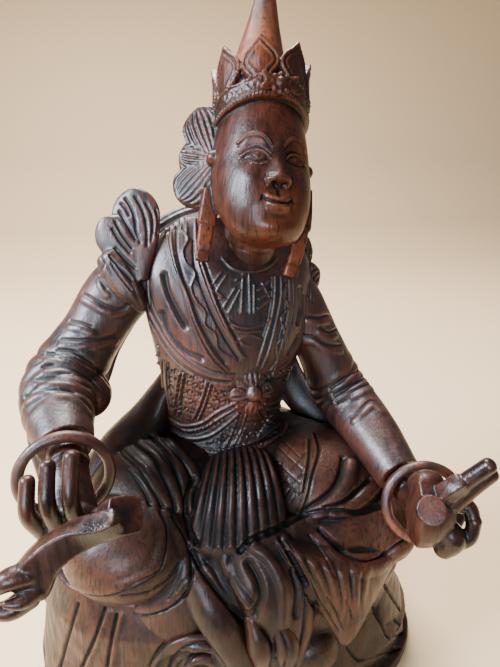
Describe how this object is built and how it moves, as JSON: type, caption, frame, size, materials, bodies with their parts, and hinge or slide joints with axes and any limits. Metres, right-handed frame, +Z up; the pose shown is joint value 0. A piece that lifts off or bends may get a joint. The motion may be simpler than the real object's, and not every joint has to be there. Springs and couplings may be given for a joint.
{
  "type": "carved wooden celestial figure",
  "caption": "Carved hardwood celestial figure, seated cross-legged on a cloud mound, with a leafed crown and spire, open arms and loose wrist bangles.",
  "frame": {"origin": "middle of the mound's flat underside", "axes": "+Z up through the seated body to the crown's spire; -Y is the way the lap faces; +X is the figure's left"},
  "size_m": [0.258, 0.1936, 0.4304],
  "materials": {
    "dark_wood": "polished dark reddish-brown hardwood, near black in the recesses",
    "red_wood": "polished redder hardwood with visible grain",
    "bangle_wood": "polished dark hardwood ring"
  },
  "bodies": {
    "root": {"figure": "dark_wood", "crown_spire": "red_wood", "right_hand": "red_wood", "left_hand": "red_wood", "right_bangle": "bangle_wood", "left_bangle": "bangle_wood"}
  },
  "joints": []
}
